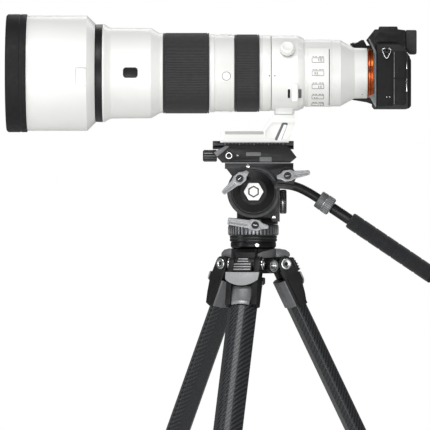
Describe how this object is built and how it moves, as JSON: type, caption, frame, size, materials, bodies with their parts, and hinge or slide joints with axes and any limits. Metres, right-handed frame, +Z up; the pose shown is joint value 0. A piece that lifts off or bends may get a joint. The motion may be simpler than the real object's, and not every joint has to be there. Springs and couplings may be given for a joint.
{
  "type": "camera on tripod",
  "caption": "Mirrorless camera with a long white zoom lens and hood, carried by its foot on a fluid head with a pan handle, on a three-legged carbon-fibre tripod.",
  "frame": {"origin": "middle of the whole object's footprint box, on the floor under the three feet", "axes": "+Z up, the lens looks along -X, and the side with the pan handle and lens switches faces -Y"},
  "size_m": [0.5864, 0.5238, 0.8285],
  "materials": {
    "white_shell": "satin off-white paint",
    "rubber": "ribbed black rubber",
    "black_paint": "fine-textured black paint",
    "black_metal": "black anodised",
    "grey_metal": "grey powder coat",
    "steel": "bright machined",
    "copper_ring": "orange anodised",
    "carbon": "woven carbon fibre, satin",
    "glass": "coated",
    "foam": "dense black foam",
    "body_plastic": "black plastic"
  },
  "bodies": {
    "tripod": {"spider": "grey_metal", "tie_down_knob": "black_metal", "head_base": "black_metal", "front_leg_hinge_pin": "steel", "right_leg_hinge_pin": "steel", "left_leg_hinge_pin": "steel"},
    "pan_drag": {"pan_drag_ring": "black_metal"},
    "head": {"pan_body": "black_metal"},
    "pan_lock": {"pan_lever": "grey_metal"},
    "drag_control": {"drag_dial": "body_plastic"},
    "cradle": {"tilt_cradle": "black_metal", "drum_cap": "body_plastic", "quick_release_clamp": "black_metal"},
    "tilt_lock": {"tilt_lever": "grey_metal"},
    "pan_handle": {"handle_clamp": "black_metal", "handle_tube": "black_metal"},
    "handle_lock": {"handle_lever": "grey_metal"},
    "grip_slide": {"handle_grip": "foam"},
    "grip_lock": {"handle_lock_collar": "black_metal"},
    "clamp_screw": {"clamp_knob": "black_metal"},
    "plate_release": {"release_button": "steel"},
    "foot_plate": {"quick_release_plate": "black_metal", "lens_foot": "white_shell", "tripod_collar": "white_shell"},
    "collar_screw": {"collar_knob": "white_shell"},
    "lens": {"front_barrel": "white_shell", "front_element": "glass", "mid_barrel": "white_shell", "rear_barrel": "white_shell", "switch_panel": "white_shell", "lens_mount": "copper_ring", "camera_body": "black_paint", "eyecup": "rubber"},
    "zoom": {"zoom_ring": "rubber"},
    "focus": {"focus_ring": "rubber"},
    "lens_hood": {"hood": "white_shell", "hood_bumper": "rubber"},
    "hood_catch": {"hood_release_button": "white_shell"},
    "shutter": {"shutter_button": "black_metal"},
    "mode": {"mode_dial": "body_plastic"},
    "screen": {"rear_screen": "body_plastic"},
    "port_cover": {"terminal_door": "rubber"},
    "front_leg": {"front_leg_bracket": "grey_metal", "front_leg_upper_tube": "carbon"},
    "front_stop": {"front_leg_angle_stop": "black_metal"},
    "front_lock": {"front_leg_twist_lock": "rubber"},
    "front_lower": {"front_leg_lower_tube": "carbon", "front_leg_foot": "rubber"},
    "right_leg": {"right_leg_bracket": "grey_metal", "right_leg_upper_tube": "carbon"},
    "right_stop": {"right_leg_angle_stop": "black_metal"},
    "right_lock": {"right_leg_twist_lock": "rubber"},
    "right_lower": {"right_leg_lower_tube": "carbon", "right_leg_foot": "rubber"},
    "left_leg": {"left_leg_bracket": "grey_metal", "left_leg_upper_tube": "carbon"},
    "left_stop": {"left_leg_angle_stop": "black_metal"},
    "left_lock": {"left_leg_twist_lock": "rubber"},
    "left_lower": {"left_leg_lower_tube": "carbon", "left_leg_foot": "rubber"}
  },
  "joints": [
    {"name": "front_leg_fold", "type": "hinge", "parent": "tripod", "child": "front_leg", "pos_m": [-0.01582, 0.00643, 0.539], "axis": [0.9673, -0.2538, 0], "range_deg": [0, 24]},
    {"name": "front_angle_stop_pull", "type": "slide", "parent": "front_leg", "child": "front_stop", "axis": [-0.2275, -0.8671, 0.4431], "range_m": [0, 0.005]},
    {"name": "front_twist_lock_turn", "type": "hinge", "parent": "front_leg", "child": "front_lock", "pos_m": [-0.01469, 0.01076, 0.53678], "axis": [-0.1124, -0.4286, -0.8965], "range_deg": [0, 90]},
    {"name": "front_leg_extend", "type": "slide", "parent": "front_leg", "child": "front_lower", "axis": [-0.1124, -0.4286, -0.8965], "range_m": [0, 0.32]},
    {"name": "right_leg_fold", "type": "hinge", "parent": "tripod", "child": "right_leg", "pos_m": [0.0256, 0.04829, 0.539], "axis": [-0.2639, 0.9646, 0], "range_deg": [0, 24]},
    {"name": "right_angle_stop_pull", "type": "slide", "parent": "right_leg", "child": "right_stop", "axis": [0.8647, 0.2366, 0.4431], "range_m": [0, 0.005]},
    {"name": "right_twist_lock_turn", "type": "hinge", "parent": "right_leg", "child": "right_lock", "pos_m": [0.02127, 0.0471, 0.53678], "axis": [0.4274, 0.1169, -0.8965], "range_deg": [0, 90]},
    {"name": "right_leg_extend", "type": "slide", "parent": "right_leg", "child": "right_lower", "axis": [0.4274, 0.1169, -0.8965], "range_m": [0, 0.32]},
    {"name": "left_leg_fold", "type": "hinge", "parent": "tripod", "child": "left_leg", "pos_m": [-0.03136, 0.06323, 0.539], "axis": [-0.7034, -0.7108, 0], "range_deg": [0, 24]},
    {"name": "left_angle_stop_pull", "type": "slide", "parent": "left_leg", "child": "left_stop", "axis": [-0.6372, 0.6306, 0.4431], "range_m": [0, 0.005]},
    {"name": "left_twist_lock_turn", "type": "hinge", "parent": "left_leg", "child": "left_lock", "pos_m": [-0.02818, 0.06008, 0.53678], "axis": [-0.3149, 0.3117, -0.8965], "range_deg": [0, 90]},
    {"name": "left_leg_extend", "type": "slide", "parent": "left_leg", "child": "left_lower", "axis": [-0.3149, 0.3117, -0.8965], "range_m": [0, 0.32]},
    {"name": "pan_drag_turn", "type": "hinge", "parent": "tripod", "child": "pan_drag", "pos_m": [-0.0072, 0.03932, 0.5782], "axis": [0, 0, 1], "range_deg": [-60, 60]},
    {"name": "pan", "type": "hinge", "parent": "tripod", "child": "head", "pos_m": [-0.0072, 0.03932, 0.5847], "axis": [0, 0, 1], "continuous": true},
    {"name": "pan_lock_turn", "type": "hinge", "parent": "head", "child": "pan_lock", "pos_m": [-0.0053, 0.00132, 0.5842], "axis": [0, 1, 0], "range_deg": [0, 25]},
    {"name": "drag_dial_turn", "type": "hinge", "parent": "head", "child": "drag_control", "pos_m": [0.0268, 0.03932, 0.611], "axis": [1, 0, 0], "range_deg": [0, 270]},
    {"name": "tilt", "type": "hinge", "parent": "head", "child": "cradle", "pos_m": [-0.0072, 0.03932, 0.6228], "axis": [0, 1, 0], "range_deg": [-60, 25]},
    {"name": "tilt_lock_turn", "type": "hinge", "parent": "cradle", "child": "tilt_lock", "pos_m": [-0.0232, -0.00768, 0.638], "axis": [0, 1, 0], "range_deg": [0, 60]},
    {"name": "handle_angle", "type": "hinge", "parent": "cradle", "child": "pan_handle", "pos_m": [0.0318, -0.00568, 0.6412], "axis": [0, -1, 0], "range_deg": [-15, 35]},
    {"name": "handle_lock_turn", "type": "hinge", "parent": "pan_handle", "child": "handle_lock", "pos_m": [0.0318, -0.01668, 0.6412], "axis": [0, -1, 0], "range_deg": [0, 60]},
    {"name": "grip_extend", "type": "slide", "parent": "pan_handle", "child": "grip_slide", "axis": [0.829, 0, -0.5592], "range_m": [0, 0.06]},
    {"name": "grip_lock_turn", "type": "hinge", "parent": "grip_slide", "child": "grip_lock", "pos_m": [0.0648, -0.00768, 0.6165], "axis": [0.829, 0, -0.5592], "range_deg": [0, 90]},
    {"name": "clamp_knob_turn", "type": "hinge", "parent": "cradle", "child": "clamp_screw", "pos_m": [-0.0572, 0.03932, 0.6642], "axis": [-1, 0, 0], "range_deg": [0, 300]},
    {"name": "release_button_press", "type": "slide", "parent": "cradle", "child": "plate_release", "axis": [0, 1, 0], "range_m": [0, 0.0012], "stiffness_N_per_m": 500},
    {"name": "plate_slide", "type": "slide", "parent": "cradle", "child": "foot_plate", "axis": [1, 0, 0], "range_m": [-0.02, 0.02]},
    {"name": "collar_knob_turn", "type": "hinge", "parent": "foot_plate", "child": "collar_screw", "pos_m": [0.0318, 0.00245, 0.78581], "axis": [0, -0.8192, 0.5736], "range_deg": [0, 270]},
    {"name": "lens_rotate", "type": "hinge", "parent": "foot_plate", "child": "lens", "pos_m": [0.0318, 0.03932, 0.76], "axis": [1, 0, 0], "continuous": true},
    {"name": "zoom_turn", "type": "hinge", "parent": "lens", "child": "zoom", "pos_m": [-0.0842, 0.03932, 0.76], "axis": [1, 0, 0], "range_deg": [-60, 60]},
    {"name": "focus_turn", "type": "hinge", "parent": "lens", "child": "focus", "pos_m": [-0.0152, 0.03932, 0.76], "axis": [1, 0, 0], "continuous": true},
    {"name": "hood_slide", "type": "slide", "parent": "lens", "child": "lens_hood", "axis": [-1, 0, 0], "range_m": [0, 0.03]},
    {"name": "hood_button_press", "type": "slide", "parent": "lens_hood", "child": "hood_catch", "axis": [0, 1, 0], "range_m": [0, 0.001], "stiffness_N_per_m": 400},
    {"name": "shutter_press", "type": "slide", "parent": "lens", "child": "shutter", "axis": [0, 0, -1], "range_m": [0, 0.001], "stiffness_N_per_m": 300},
    {"name": "mode_dial_turn", "type": "hinge", "parent": "lens", "child": "mode", "pos_m": [0.1508, 0.10132, 0.795], "axis": [0, 0, 1], "continuous": true},
    {"name": "screen_tilt", "type": "hinge", "parent": "lens", "child": "screen", "pos_m": [0.174, 0.03381, 0.772], "axis": [0, -1, 0], "range_deg": [0, 80]},
    {"name": "port_cover_open", "type": "hinge", "parent": "lens", "child": "port_cover", "pos_m": [0.1681, -0.01168, 0.7535], "axis": [0, 0, 1], "range_deg": [0, 100]}
  ]
}
